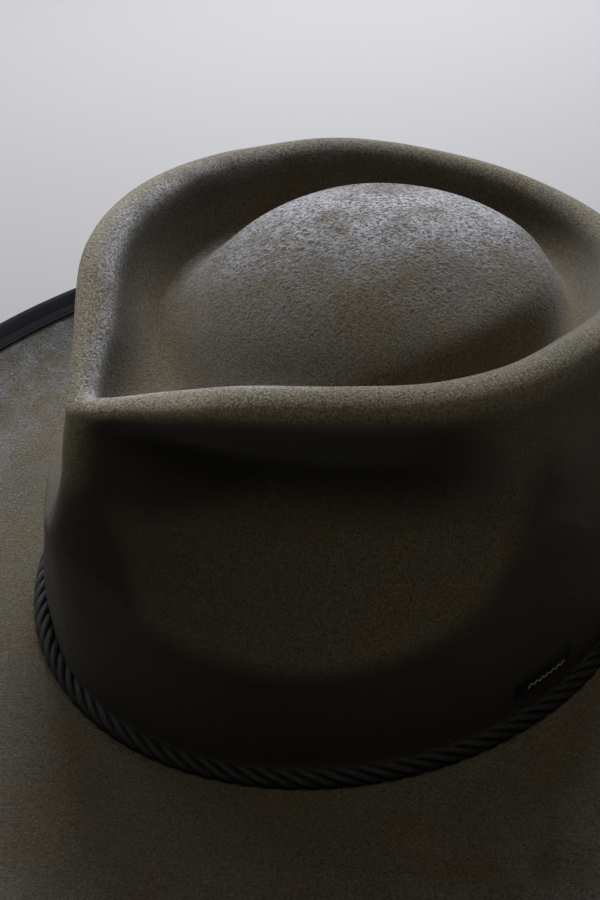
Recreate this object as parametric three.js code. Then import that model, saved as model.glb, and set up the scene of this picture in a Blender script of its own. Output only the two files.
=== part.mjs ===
// Felt hat: a teardrop crown pinched at the front, a cord round the crown's foot,
// a brim with a curled edge bound in ribbon, and a small tab sewn above the cord.
// Millimetres, +Z up. The front of the hat is -Y and the wearer's left is +X.
// The origin is the middle of the hat's outline, on the flat underside of the brim.
import * as THREE from 'three';
import { mergeVertices } from 'three/addons/utils/BufferGeometryUtils.js';

// Felt and head size: the oval at the foot of the crown, measured outside
const feltThickness = 2.2;
const headHalfLength = 100;
const headHalfWidth = 87;

// Crown: upright sections, each at an angle from the front in degrees, the same on both sides.
// In each, the crest is the rounded edge, the dent the deepest line of the side pinch,
// the belly the fold under the pinch, and the moat the bottom of the channel inside the crest.
const crownColumns = [
  'crestRadius',
  'crestHeight',
  'dentRadius',
  'dentHeight',
  'bellyRadius',
  'bellyHeight',
  'moatRadius',
  'moatHeight',
];
const crownSections = [
  { angle: 0, sizes: [82, 106, 88.6, 96, 98, 62, 55, 98] },
  { angle: 4, sizes: [79.4, 107.8, 84.8, 96, 97.2, 60, 55, 98] },
  { angle: 9, sizes: [75.8, 110.8, 74.8, 95, 95.6, 57, 54.5, 98.5] },
  { angle: 16, sizes: [72, 114.8, 66.6, 93.5, 93.8, 53, 54, 99.5] },
  { angle: 36, sizes: [68.9, 124.5, 59.6, 92, 91.8, 49, 53, 103] },
  { angle: 58, sizes: [66.8, 126.5, 59, 91.5, 88.6, 48, 52.5, 104.5] },
  { angle: 83, sizes: [67.4, 124, 65.6, 90, 85.8, 61, 53.5, 104.5] },
  { angle: 92, sizes: [68, 122.9, 75.6, 90, 83.8, 74, 54.8, 104] },
  { angle: 100, sizes: [68.8, 121.8, 79, 91, 83, 77, 56.5, 103] },
  { angle: 120, sizes: [72.4, 119.7, 81, 85, 86.4, 54, 61, 102] },
  { angle: 147, sizes: [81.7, 113, 89.5, 80, 93, 52, 70, 99] },
  { angle: 180, sizes: [91, 107.2, 97.4, 76, 99, 50, 78, 95] },
];
const crestFoldRadius = 6.5;
const tipFoldRadius = 5.2;
const tipFoldAngle = 20;
const foldShoulderAngle = 30;
const moatInside = 3;
const moatOutside = 1;
const crestEdgeIn = 0.71;
const crestEdgeDown = 0.29;
const moatWallIn = 1.17;
const moatWallDown = 1.3;
const moatWallShare = 0.75;
const browIn = 0.45;
const browDown = 0.5;
const slopeOut = 0.45;
const slopeDown = 0.6;
const bellyRim = 0.3;
const footFilletRadius = 2.5;
const footBulge = 0.3;
const footBulgeHeight = 20;

// Dome inside the crest
const domeTop = 126.5;
const domeCentreY = 15;
const domeHalfLength = 60.4;
const domeHalfWidth = 62;
const domeDrop = 24.5;
const domeRoundness = 2.3;
const domeShares = [0, 0.35, 0.62, 0.8];

// Brim: flat next to the crown, then curled up to its edge
const brimWidth = 88;
const brimFlatWidth = 50;
const brimCurlRise = 14;

// Ribbon folded over the brim's edge
const ribbonShow = 6.5;
const ribbonThickness = 0.8;
const clearance = 0.3;

// Twisted cord, modelled plain at its outer diameter
const cordDiameter = 5.5;
const cordSides = 8;

// Tab sewn to the crown above the cord, on the wearer's left
const tabFromAngle = 93.5;
const tabToAngle = 109;
const tabBottom = 14.5;
const tabHeight = 7;
const tabThickness = 1.1;

// Fineness of the facets
const turnSteps = 64;
const frontCrowding = 0.3;
const spanSteps = [2, 2, 2, 2, 1, 2, 2, 2, 2, 2, 2, 2, 1, 1, 1, 1, 2];
const dentSpan = 11;
const curlSteps = 4;
const ribbonSteps = 2;
const tabSteps = 6;
const sameWithin = 1e-6;
const mergeWithin = 1e-5;

// Rows of a crown outline that lie on its guide points; above the dent the inner surface has only these
const spanEnds = spanSteps.reduce((ends, steps) => [...ends, ends.at(-1) + steps], [0]);

// Angle of each section round the hat, closer together at the pinched front
function turnAngle(step) {
  const even = (2 * Math.PI * step) / turnSteps;
  return even - frontCrowding * Math.sin(even);
}

// A section's named sizes at any angle, by a smooth curve through the rows of the table
const sectionCurves = new THREE.CubicInterpolant(
  crownSections.map((row) => THREE.MathUtils.degToRad(row.angle)),
  crownSections.flatMap((row) => row.sizes),
  crownColumns.length,
  new Float64Array(crownColumns.length),
);
sectionCurves.settings = { endingStart: THREE.ZeroSlopeEnding, endingEnd: THREE.ZeroSlopeEnding };

function crownSizes(angle) {
  const fromFront = Math.abs(Math.atan2(Math.sin(angle), Math.cos(angle)));
  const values = sectionCurves.evaluate(fromFront);
  return Object.fromEntries(crownColumns.map((name, index) => [name, values[index]]));
}

// Radius of the head oval, widened by a distance, at an angle from the front
function ovalRadius(angle, widening) {
  const across = Math.sin(angle) / (headHalfWidth + widening);
  const along = Math.cos(angle) / (headHalfLength + widening);
  return 1 / Math.hypot(across, along);
}

function domeHeight(angle, radius) {
  const across = (radius * Math.sin(angle)) / domeHalfWidth;
  const along = (-radius * Math.cos(angle) - domeCentreY) / domeHalfLength;
  return domeTop - domeDrop * Math.hypot(across, along) ** domeRoundness;
}

// Outer surface of the crown in one upright section, from the middle of the dome down to the foot
function crownOutline(angle) {
  const size = crownSizes(angle);
  const fromFront = THREE.MathUtils.radToDeg(Math.abs(Math.atan2(Math.sin(angle), Math.cos(angle))));
  const foldShare = THREE.MathUtils.smoothstep(fromFront, 0, tipFoldAngle);
  const fold = THREE.MathUtils.lerp(tipFoldRadius, crestFoldRadius, foldShare);
  const shoulder = THREE.MathUtils.degToRad(foldShoulderAngle);
  const foldSide = fold * Math.cos(shoulder);
  const shoulderHeight = size.crestHeight - fold * (1 - Math.sin(shoulder));
  const moatWallDrop = Math.min(moatWallDown * fold, moatWallShare * (size.crestHeight - size.moatHeight));
  const outerShoulder = size.crestRadius + foldSide;
  const footRadius = ovalRadius(angle, 0);
  const between = THREE.MathUtils.lerp;
  const point = (radius, height) => new THREE.Vector3(radius, height, 0);
  const belly = point(size.bellyRadius, size.bellyHeight);
  const slope = point(
    between(size.dentRadius, size.bellyRadius, slopeOut),
    between(size.dentHeight, size.bellyHeight, slopeDown),
  );
  const wall = point(footRadius + footBulge, footBulgeHeight);
  const onDome = (share) => point(share * size.moatRadius, domeHeight(angle, share * size.moatRadius));
  const guide = [
    ...domeShares.map(onDome),
    point(size.moatRadius - moatInside, size.moatHeight),
    point(size.moatRadius + moatOutside, size.moatHeight),
    point(size.crestRadius - moatWallIn * fold, size.crestHeight - moatWallDrop),
    point(size.crestRadius - crestEdgeIn * fold, size.crestHeight - crestEdgeDown * fold),
    point(size.crestRadius, size.crestHeight),
    point(outerShoulder, shoulderHeight),
    point(
      between(outerShoulder, size.dentRadius, browIn),
      between(shoulderHeight, size.dentHeight, browDown),
    ),
    point(size.dentRadius, size.dentHeight),
    slope,
    belly.clone().lerp(slope, bellyRim),
    belly,
    belly.clone().lerp(wall, bellyRim),
    wall,
    point(footRadius, feltThickness + footFilletRadius),
  ];
  const curve = new THREE.CatmullRomCurve3(guide, false, 'centripetal');
  const outline = [guide[0]];
  spanSteps.forEach((steps, span) => {
    for (let step = 1; step <= steps; step += 1) {
      outline.push(curve.getPoint((span + step / steps) / spanSteps.length));
    }
  });
  return outline.map((found) => new THREE.Vector2(found.x, found.y));
}

// Point on the top of the brim at a distance out from the crown's foot
function brimPoint(angle, out) {
  const curl = Math.max(0, (out - brimFlatWidth) / (brimWidth - brimFlatWidth));
  return new THREE.Vector2(ovalRadius(angle, out), feltThickness + brimCurlRise * curl ** 2);
}

// Top surface of the brim in one section, from the foot's fillet to the edge
function brimOutline(angle) {
  const halfTurn = Math.SQRT1_2 * footFilletRadius;
  const outline = [
    new THREE.Vector2(
      ovalRadius(angle, footFilletRadius - halfTurn),
      feltThickness + footFilletRadius - halfTurn,
    ),
    brimPoint(angle, footFilletRadius),
    brimPoint(angle, brimFlatWidth),
  ];
  const curlWidth = brimWidth - ribbonShow - brimFlatWidth;
  for (let step = 1; step <= curlSteps; step += 1) {
    outline.push(brimPoint(angle, brimFlatWidth + (curlWidth * step) / curlSteps));
  }
  for (let step = 1; step <= ribbonSteps; step += 1) {
    outline.push(brimPoint(angle, brimWidth - ribbonShow + (ribbonShow * step) / ribbonSteps));
  }
  return outline;
}

// Outline moved along its own normals; a positive distance moves it out of the felt
function offsetOutline(outline, distance) {
  return outline.map((here, index) => {
    const before = outline[Math.max(index - 1, 0)];
    const after = outline[Math.min(index + 1, outline.length - 1)];
    const along = after.clone().sub(before).normalize();
    return new THREE.Vector2(here.x - along.y * distance, here.y + along.x * distance);
  });
}

// Closed surface swept round the upright axis through a section for each angle.
// A whole turn closes on itself, and a part of a turn gets flat ends.
function sweep(angles, sectionAt, wholeTurn) {
  const place = (point, angle) => [point.x * Math.sin(angle), -point.x * Math.cos(angle), point.y];
  const rings = angles.map((angle) => sectionAt(angle).map((point) => place(point, angle)));
  const corners = [];
  const addTriangle = (a, b, c) => {
    const same = (first, second) => (
      first.every((value, axis) => Math.abs(value - second[axis]) < sameWithin)
    );
    if (!same(a, b) && !same(b, c) && !same(c, a)) {
      corners.push(...a, ...b, ...c);
    }
  };
  const ringCount = wholeTurn ? rings.length : rings.length - 1;
  for (let index = 0; index < ringCount; index += 1) {
    const here = rings[index];
    const next = rings[(index + 1) % rings.length];
    for (let side = 0; side < here.length; side += 1) {
      const other = (side + 1) % here.length;
      addTriangle(here[side], here[other], next[other]);
      addTriangle(here[side], next[other], next[side]);
    }
  }
  if (!wholeTurn) {
    const first = rings[0];
    const last = rings[rings.length - 1];
    for (let side = 1; side < first.length - 1; side += 1) {
      addTriangle(first[0], first[side + 1], first[side]);
      addTriangle(last[0], last[side], last[side + 1]);
    }
  }
  const geometry = new THREE.BufferGeometry();
  geometry.setAttribute('position', new THREE.Float32BufferAttribute(corners, 3));
  const merged = mergeVertices(geometry, mergeWithin);
  merged.computeVertexNormals();
  return merged;
}

// Felt in one section: the outer surface out to the brim's edge, a rounded edge,
// and the inner surface back to the middle
function feltSection(angle) {
  const top = [...crownOutline(angle), ...brimOutline(angle)];
  const middle = offsetOutline(top, -feltThickness / 2);
  const inside = offsetOutline(top, -feltThickness);
  inside[0].set(0, top[0].y - feltThickness);
  const edge = middle[middle.length - 1];
  edge.x += feltThickness / 2;
  const kept = inside.filter((point, index) => index >= spanEnds[dentSpan] || spanEnds.includes(index));
  const bottom = kept.map((point) => new THREE.Vector2(point.x, Math.max(point.y, 0)));
  return [...top, edge, ...bottom.reverse()];
}

// Ribbon folded over the edge: a U-shaped section that keeps its clearance to the felt
function ribbonSection(angle) {
  const top = brimOutline(angle).slice(-ribbonSteps - 1);
  const layer = (gap) => {
    const over = offsetOutline(top, gap);
    const under = offsetOutline(top, -feltThickness - gap);
    const edge = offsetOutline(top, -feltThickness / 2)[ribbonSteps];
    edge.x += feltThickness / 2 + gap;
    return [...over, edge, ...under.reverse()];
  };
  return [...layer(clearance + ribbonThickness), ...layer(clearance).reverse()];
}

function cordSection(angle) {
  const radius = cordDiameter / 2;
  const centre = new THREE.Vector2(
    ovalRadius(angle, clearance + radius),
    feltThickness + clearance + radius,
  );
  const corners = [];
  for (let side = 0; side < cordSides; side += 1) {
    const turn = (-2 * Math.PI * (side + 0.5)) / cordSides;
    corners.push(new THREE.Vector2(
      centre.x + radius * Math.cos(turn),
      centre.y + radius * Math.sin(turn),
    ));
  }
  return corners;
}

// Radius of the crown's outer surface at a height under the belly
function wallRadius(angle, height) {
  const outline = crownOutline(angle);
  const lower = outline.findLastIndex((point) => point.y > height) + 1;
  const below = outline[lower];
  const above = outline[lower - 1];
  const share = (height - below.y) / (above.y - below.y);
  return THREE.MathUtils.lerp(below.x, above.x, share);
}

function tabSection(angle) {
  const top = tabBottom + tabHeight;
  const back = (height) => wallRadius(angle, height) + clearance;
  return [
    new THREE.Vector2(back(top), top),
    new THREE.Vector2(back(top) + tabThickness, top),
    new THREE.Vector2(back(tabBottom) + tabThickness, tabBottom),
    new THREE.Vector2(back(tabBottom), tabBottom),
  ];
}

const allTurn = Array.from({ length: turnSteps }, (_, step) => turnAngle(step));
const tabTurn = Array.from({ length: tabSteps + 1 }, (_, step) => THREE.MathUtils.degToRad(
  THREE.MathUtils.lerp(tabFromAngle, tabToAngle, step / tabSteps),
));

const pieces = [
  {
    name: 'felt_body',
    angles: allTurn,
    section: feltSection,
    wholeTurn: true,
    colour: '#6b6557',
    roughness: 0.95,
  },
  {
    name: 'cord_band',
    angles: allTurn,
    section: cordSection,
    wholeTurn: true,
    colour: '#2a2b2d',
    roughness: 0.8,
  },
  {
    name: 'brim_binding',
    angles: allTurn,
    section: ribbonSection,
    wholeTurn: true,
    colour: '#2c2d30',
    roughness: 0.6,
  },
  {
    name: 'side_tab',
    angles: tabTurn,
    section: tabSection,
    wholeTurn: false,
    colour: '#1d1e20',
    roughness: 0.7,
  },
];

const hat = new THREE.Group();
for (const piece of pieces) {
  const material = new THREE.MeshStandardMaterial({
    color: piece.colour,
    roughness: piece.roughness,
    metalness: 0,
  });
  const mesh = new THREE.Mesh(sweep(piece.angles, piece.section, piece.wholeTurn), material);
  mesh.name = piece.name;
  hat.add(mesh);
}

export default hat;
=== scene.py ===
"""A felt hat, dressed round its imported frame.

The shapes are worked out in millimetres from the same named sizes as the hat's solids, and
are turned to metres as each mesh is made. The hat's front is -Y and the wearer's left is +X.
Angles run from the front towards the wearer's left, round the upright axis.
"""

import logging
import math
from abc import ABC, abstractmethod
from dataclasses import astuple, dataclass, field
from enum import Enum, IntEnum

import bpy
import numpy as np
from mathutils import Matrix, Vector, noise


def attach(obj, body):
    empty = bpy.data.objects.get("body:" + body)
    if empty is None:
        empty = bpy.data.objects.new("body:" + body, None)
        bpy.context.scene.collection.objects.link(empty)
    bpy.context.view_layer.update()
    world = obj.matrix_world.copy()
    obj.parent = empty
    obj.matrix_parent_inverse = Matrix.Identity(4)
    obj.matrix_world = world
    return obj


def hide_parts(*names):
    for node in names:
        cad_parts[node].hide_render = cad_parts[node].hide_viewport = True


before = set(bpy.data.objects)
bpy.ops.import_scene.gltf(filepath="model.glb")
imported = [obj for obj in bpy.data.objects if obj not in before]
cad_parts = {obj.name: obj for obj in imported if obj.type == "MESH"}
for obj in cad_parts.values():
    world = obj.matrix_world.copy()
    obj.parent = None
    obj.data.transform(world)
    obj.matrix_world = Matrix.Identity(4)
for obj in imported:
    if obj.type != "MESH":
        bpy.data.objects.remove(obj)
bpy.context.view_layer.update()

LOG = logging.getLogger("felt_hat")
MM = 0.001
TURN = 2 * math.pi
PHOTO_SIZE = (600, 900)
SENSOR_MM = 36.0

Colour = tuple[float, float, float, float]
Inputs = dict[int | str, object]
Faces = list[list[int]]


class Slot(Enum):
    """Material slots of the hat's record."""

    FELT = "felt"
    CORD = "cord"
    RIBBON = "ribbon"
    TAB = "tab"


class Guide(IntEnum):
    """Numbers of the guide points that other places on the crown are told from."""

    CHANNEL_OUTSIDE = 5
    CHANNEL_WALL = 6
    INNER_EDGE = 7
    CREST = 8
    SHOULDER = 9
    DENT = 11
    BELLY = 14


@dataclass(frozen=True)
class Ramp:
    """An even rise from nothing at one value to its full amount at another."""

    zero: float
    full: float
    amount: float = 1.0
    least: float = 0.0

    def __call__(self, value: np.ndarray) -> np.ndarray:
        """Gives the rise at each value."""
        share = (value - self.zero) / (self.full - self.zero)
        return self.amount * np.clip(share, self.least, 1)


@dataclass(frozen=True)
class Bell:
    """A rounded bump about a middle value."""

    middle: float
    width: float
    amount: float = 1.0

    def __call__(self, value: np.ndarray) -> np.ndarray:
        """Gives the bump at each value."""
        return self.amount * np.exp(-(((value - self.middle) / self.width) ** 2))


def wrapped(angle: np.ndarray) -> np.ndarray:
    """Brings angles in radians to within half a turn of the front."""
    return np.arctan2(np.sin(angle), np.cos(angle))


def even_turns(count: int) -> np.ndarray:
    """Spaces angles evenly round a whole turn."""
    return TURN * np.arange(count) / count


def unit(vectors: np.ndarray) -> np.ndarray:
    """Brings vectors to a length of one."""
    return vectors / np.linalg.norm(vectors, axis=-1, keepdims=True)


def direction(azimuth: float, elevation: float) -> Vector:
    """Gives the direction from the hat at an azimuth and an elevation.

    Args:
        azimuth: Degrees from the front.
        elevation: Degrees above the horizon.

    Returns:
        The direction, one unit long.
    """
    side, rise = math.radians(azimuth), math.radians(elevation)
    level = math.cos(rise)
    return Vector((math.sin(side) * level, -math.cos(side) * level, math.sin(rise)))


def linear(code: str) -> Colour:
    """Turns an sRGB hex colour to a linear one.

    Args:
        code: Six hex digits after a hash sign.

    Returns:
        Linear red, green, blue and an alpha of one.
    """
    parts = [int(code[start : start + 2], 16) / 255 for start in (1, 3, 5)]
    return (
        *(
            value / 12.92 if value <= 0.04045 else ((value + 0.055) / 1.055) ** 2.4
            for value in parts
        ),
        1.0,
    )


def add_node(
    tree: bpy.types.NodeTree,
    kind: str,
    inputs: Inputs,
    output: int | str = 0,
    **settings: object,
) -> bpy.types.NodeSocket | None:
    """Adds a node with its settings, and sets or links its inputs.

    Args:
        tree: The node tree that the node goes in.
        kind: The node's type, less the words that all shader nodes start with.
        inputs: For each named or numbered input, its value or the socket that feeds it.
        output: The name or number of the output to give back.
        settings: The node's own properties.

    Returns:
        The output, if the node has one.
    """
    node = tree.nodes.new("ShaderNode" + kind)
    for name, value in settings.items():
        setattr(node, name, value)
    for socket, value in inputs.items():
        if isinstance(value, bpy.types.NodeSocket):
            tree.links.new(value, node.inputs[socket])
        else:
            node.inputs[socket].default_value = value
    return node.outputs[output] if node.outputs else None


def grid_faces(
    rings: int, sides: int, closed_rings: bool = True, closed_sides: bool = True, start: int = 0
) -> Faces:
    """Lists the four-cornered faces of a grid of points.

    Args:
        rings: How many rings there are.
        sides: How many points each ring has.
        closed_rings: Whether the last ring joins the first one.
        closed_sides: Whether a ring's last point joins its first one.
        start: The number of the grid's first vertex.

    Returns:
        Vertex numbers, four to a face.
    """
    ring = np.arange(rings if closed_rings else rings - 1)[:, None]
    side = np.arange(sides if closed_sides else sides - 1)[None, :]
    here, after = ring * sides, (ring + 1) % rings * sides
    beside = (side + 1) % sides
    corners = [here + side, here + beside, after + beside, after + side]
    return (np.stack(corners, axis=-1).reshape(-1, 4) + start).tolist()


def enclosed_volume(points: np.ndarray, faces: Faces) -> float:
    """Works out the volume inside a closed mesh.

    Args:
        points: Vertices.
        faces: Vertex numbers of each face.

    Returns:
        The volume, negative where the faces look inward.
    """
    volume = 0.0
    for sides in {len(face) for face in faces}:
        same = np.array([face for face in faces if len(face) == sides])
        for corner in range(1, sides - 1):
            first, here, there = (points[same[:, pick]] for pick in (0, corner, corner + 1))
            volume += float((first * np.cross(here, there)).sum()) / 6
    return volume


def make_mesh(
    name: str, points: np.ndarray, faces: Faces, attributes: dict[str, np.ndarray] | None = None
) -> bpy.types.Object:
    """Makes a smooth closed mesh object that faces outward.

    Args:
        name: The object's name.
        points: Vertices in millimetres.
        faces: Vertex numbers of each face.
        attributes: Named numbers for each vertex, for the material to read.

    Returns:
        The new object, at the origin.
    """
    if enclosed_volume(points, faces) < 0:
        faces = [face[::-1] for face in faces]
    mesh = bpy.data.meshes.new(name)
    mesh.from_pydata((points * MM).tolist(), [], faces)
    mesh.polygons.foreach_set("use_smooth", [True] * len(mesh.polygons))
    for label, values in (attributes or {}).items():
        layer = mesh.attributes.new(label, "FLOAT", "POINT")
        layer.data.foreach_set("value", np.asarray(values, dtype=np.float32))
    mesh.validate()
    mesh.update()
    made = bpy.data.objects.new(name, mesh)
    bpy.context.scene.collection.objects.link(made)
    return made


def capsules(
    name: str, centres: np.ndarray, directions: np.ndarray, length: float, radius: float
) -> bpy.types.Object:
    """Makes many small rounded stitches as one mesh.

    Args:
        name: The object's name.
        centres: The middle of each stitch.
        directions: The direction of each stitch, as unit vectors.
        length: A stitch's length.
        radius: A stitch's radius.

    Returns:
        The stitches.
    """
    sides = 6
    stations = np.array([-0.5, -0.42, -0.2, 0.2, 0.42, 0.5]) * length
    widths = np.array([0.25, 0.8, 1.0, 1.0, 0.8, 0.25]) * radius
    around = even_turns(sides)
    cosine, sine = np.cos(around)[None, :, None], np.sin(around)[None, :, None]
    last = (len(stations) - 1) * sides
    points, faces = [], []
    for centre, run in zip(centres, directions):
        first = unit(np.cross(run, [0, 0, 1.0]))
        second = np.cross(run, first)
        start = len(points) * sides * len(stations)
        swell = widths[:, None, None] * (cosine * first + sine * second)
        points.append((centre + stations[:, None, None] * run + swell).reshape(-1, 3))
        faces += grid_faces(len(stations), sides, closed_rings=False, start=start)
        faces.append([start + side for side in reversed(range(sides))])
        faces.append([start + last + side for side in range(sides)])
    return make_mesh(name, np.concatenate(points), faces)


def place_on(
    piece: bpy.types.Object, material: bpy.types.Material, node: str | None
) -> None:
    """Dresses a piece, rides it on the hat, and hides the solid that it replaces.

    Args:
        piece: The piece.
        material: Its material.
        node: The solid that it replaces, if it replaces one.
    """
    piece.data.materials.append(material)
    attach(piece, "root")
    if node:
        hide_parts(node)
    LOG.info("%s: %d faces", piece.name, len(piece.data.polygons))


@dataclass(frozen=True)
class CrownRow:
    """Sizes of the crown's upright section at one angle from the front.

    The crest is the rounded edge, the dent the deepest line of the side pinch, the belly the
    fold under the pinch, and the moat the bottom of the channel inside the crest.
    """

    angle: float
    crest_radius: float
    crest_height: float
    dent_radius: float
    dent_height: float
    belly_radius: float
    belly_height: float
    moat_radius: float
    moat_height: float


@dataclass(frozen=True)
class HatShape:
    """The felt's blocked shape: an oval foot, the crown's sections and the brim's curl."""

    felt_thickness: float = 2.2
    head_half_length: float = 100.0
    head_half_width: float = 87.0
    rows: tuple[CrownRow, ...] = (
        CrownRow(0, 82, 106, 88.6, 96, 98, 62, 55, 98),
        CrownRow(4, 79.4, 107.8, 84.8, 96, 97.2, 60, 55, 98),
        CrownRow(9, 75.8, 110.8, 74.8, 95, 95.6, 57, 54.5, 98.5),
        CrownRow(16, 72, 114.8, 66.6, 93.5, 93.8, 53, 54, 99.5),
        CrownRow(36, 68.9, 124.5, 59.6, 92, 91.8, 49, 53, 103),
        CrownRow(58, 66.8, 126.5, 59, 91.5, 88.6, 48, 52.5, 104.5),
        CrownRow(83, 67.4, 124, 65.6, 90, 85.8, 61, 53.5, 104.5),
        CrownRow(92, 68, 122.9, 75.6, 90, 83.8, 74, 54.8, 104),
        CrownRow(100, 68.8, 121.8, 79, 91, 83, 77, 56.5, 103),
        CrownRow(120, 72.4, 119.7, 81, 85, 86.4, 54, 61, 102),
        CrownRow(147, 81.7, 113, 89.5, 80, 93, 52, 70, 99),
        CrownRow(180, 91, 107.2, 97.4, 76, 99, 50, 78, 95),
    )
    crest_fold: float = 6.5
    tip_fold: float = 5.2
    tip_fold_end: Ramp = Ramp(0.0, 20.0)
    fold_shoulder: float = 30.0
    moat_inside: float = 3.0
    moat_outside: float = 1.0
    crest_edge_in: float = 0.71
    crest_edge_down: float = 0.29
    moat_wall_in: float = 1.17
    moat_wall_down: float = 1.3
    moat_wall_share: float = 0.75
    brow_in: float = 0.45
    brow_down: float = 0.5
    slope_out: float = 0.45
    slope_down: float = 0.6
    belly_rim: float = 0.3
    foot_fillet: float = 2.5
    foot_bulge: float = 0.3
    foot_bulge_height: float = 20.0
    dome_top: float = 126.5
    dome_centre: float = 15.0
    dome_half_length: float = 60.4
    dome_half_width: float = 62.0
    dome_drop: float = 24.5
    dome_roundness: float = 2.3
    dome_shares: tuple[float, ...] = (0, 0.35, 0.62, 0.8)
    brim_width: float = 88.0
    brim_flat: float = 50.0
    brim_curl: float = 14.0

    def oval_radius(self, angle: np.ndarray, widening: float) -> np.ndarray:
        """Gives the radius of the head oval, widened.

        Args:
            angle: Angles from the front, in radians.
            widening: How far outside the oval.

        Returns:
            The radius at each angle.
        """
        across = np.sin(angle) / (self.head_half_width + widening)
        along = np.cos(angle) / (self.head_half_length + widening)
        return 1 / np.hypot(across, along)

    def section_sizes(self, angle: np.ndarray) -> np.ndarray:
        """Reads the crown's sizes between the rows, by a smooth curve.

        Args:
            angle: Angles from the front, in radians.

        Returns:
            Eight sizes for each angle.
        """
        turned = np.abs(wrapped(angle))
        knots = np.radians([row.angle for row in self.rows])
        table = np.array([astuple(row)[1:] for row in self.rows])
        # Both sides of the hat are alike, so the row beyond each end mirrors the one inside it
        knots = np.concatenate([[-knots[1]], knots, [2 * knots[-1] - knots[-2]]])
        table = np.concatenate([table[1:2], table, table[-2:-1]])
        last = len(self.rows) - 1
        span = np.clip(np.searchsorted(knots, turned, side="right") - 1, 1, last)
        before, start, end, after = (knots[span + step] for step in (-1, 0, 1, 2))
        width = end - start
        share = (turned - start) / width
        lean = 0.5 * width / (start - before)
        reach = 0.5 * width / (after - end)
        square, cube = share**2, share**3
        weights = (
            -lean * cube + 2 * lean * square - lean * share,
            (1 + lean) * cube - (1.5 + 2 * lean) * square + (lean - 0.5) * share + 1,
            -(1 + reach) * cube + (1.5 + reach) * square + 0.5 * share,
            reach * cube - reach * square,
        )
        return sum(
            weight[:, None] * table[span + step] for step, weight in enumerate(weights, start=-1)
        )

    def dome_height(self, angle: np.ndarray, radius: np.ndarray) -> np.ndarray:
        """Gives the dome's height at places round the upright axis.

        Args:
            angle: Angles from the front, in radians.
            radius: Distances from the axis.

        Returns:
            The height at each place.
        """
        across = radius * np.sin(angle) / self.dome_half_width
        along = (-radius * np.cos(angle) - self.dome_centre) / self.dome_half_length
        return self.dome_top - self.dome_drop * np.hypot(across, along) ** self.dome_roundness

    def crown_guides(self, angle: np.ndarray) -> np.ndarray:
        """Lays out the points that each crown section runs through.

        Args:
            angle: Angles from the front, in radians.

        Returns:
            Radius and height of each guide point, for each angle.
        """

        def between(low: np.ndarray, high: np.ndarray, part: float) -> np.ndarray:
            """Goes a part of the way from low to high."""
            return low + (high - low) * part

        sizes = self.section_sizes(angle).T
        crest_r, crest_z, dent_r, dent_z, belly_r, belly_z, moat_r, moat_z = sizes
        share = self.tip_fold_end(np.degrees(np.abs(wrapped(angle))))
        share = share * share * (3 - 2 * share)
        fold = self.tip_fold + (self.crest_fold - self.tip_fold) * share
        shoulder = math.radians(self.fold_shoulder)
        shoulder_z = crest_z - fold * (1 - math.sin(shoulder))
        outer = crest_r + fold * math.cos(shoulder)
        foot = self.oval_radius(angle, 0)
        wall_r = foot + self.foot_bulge
        wall_z = self.foot_bulge_height
        channel_depth = self.moat_wall_share * (crest_z - moat_z)
        slope_r = between(dent_r, belly_r, self.slope_out)
        slope_z = between(dent_z, belly_z, self.slope_down)
        rim = self.belly_rim
        points = [
            (part * moat_r, self.dome_height(angle, part * moat_r)) for part in self.dome_shares
        ]
        points += [
            (moat_r - self.moat_inside, moat_z),
            (moat_r + self.moat_outside, moat_z),
            (
                crest_r - self.moat_wall_in * fold,
                crest_z - np.minimum(self.moat_wall_down * fold, channel_depth),
            ),
            (crest_r - self.crest_edge_in * fold, crest_z - self.crest_edge_down * fold),
            (crest_r, crest_z),
            (outer, shoulder_z),
            (
                between(outer, dent_r, self.brow_in),
                between(shoulder_z, dent_z, self.brow_down),
            ),
            (dent_r, dent_z),
            (slope_r, slope_z),
            (between(belly_r, slope_r, rim), between(belly_z, slope_z, rim)),
            (belly_r, belly_z),
            (between(belly_r, wall_r, rim), between(belly_z, wall_z, rim)),
            (wall_r, np.full_like(foot, wall_z)),
            (foot, np.full_like(foot, self.felt_thickness + self.foot_fillet)),
        ]
        return np.array(points).transpose(2, 0, 1)

    def crown_outline(self, angle: np.ndarray, steps: tuple[int, ...]) -> np.ndarray:
        """Runs a smooth curve through each section's guide points.

        Args:
            angle: Angles from the front, in radians.
            steps: How many steps each span between two guide points takes.

        Returns:
            Radius and height of each point from the dome's middle to the foot, for each angle.
        """
        guides = self.crown_guides(angle)
        first = 2 * guides[:, :1] - guides[:, 1:2]
        last = 2 * guides[:, -1:] - guides[:, -2:-1]
        run = np.concatenate([first, guides, last], axis=1)
        found = [guides[:, 0]]
        for span, count in enumerate(steps):
            p0, p1, p2, p3 = (run[:, span + k] for k in range(4))
            d0, d1, d2 = (
                np.sqrt(np.linalg.norm(b - a, axis=1))[:, None]
                for a, b in ((p0, p1), (p1, p2), (p2, p3))
            )
            leave = ((p1 - p0) / d0 - (p2 - p0) / (d0 + d1) + (p2 - p1) / d1) * d1
            arrive = ((p2 - p1) / d1 - (p3 - p1) / (d1 + d2) + (p3 - p2) / d2) * d1
            for step in range(1, count + 1):
                t = step / count
                found.append(
                    (2 * t**3 - 3 * t**2 + 1) * p1
                    + (t**3 - 2 * t**2 + t) * leave
                    + (-2 * t**3 + 3 * t**2) * p2
                    + (t**3 - t**2) * arrive
                )
        return np.stack(found, axis=1)

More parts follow.
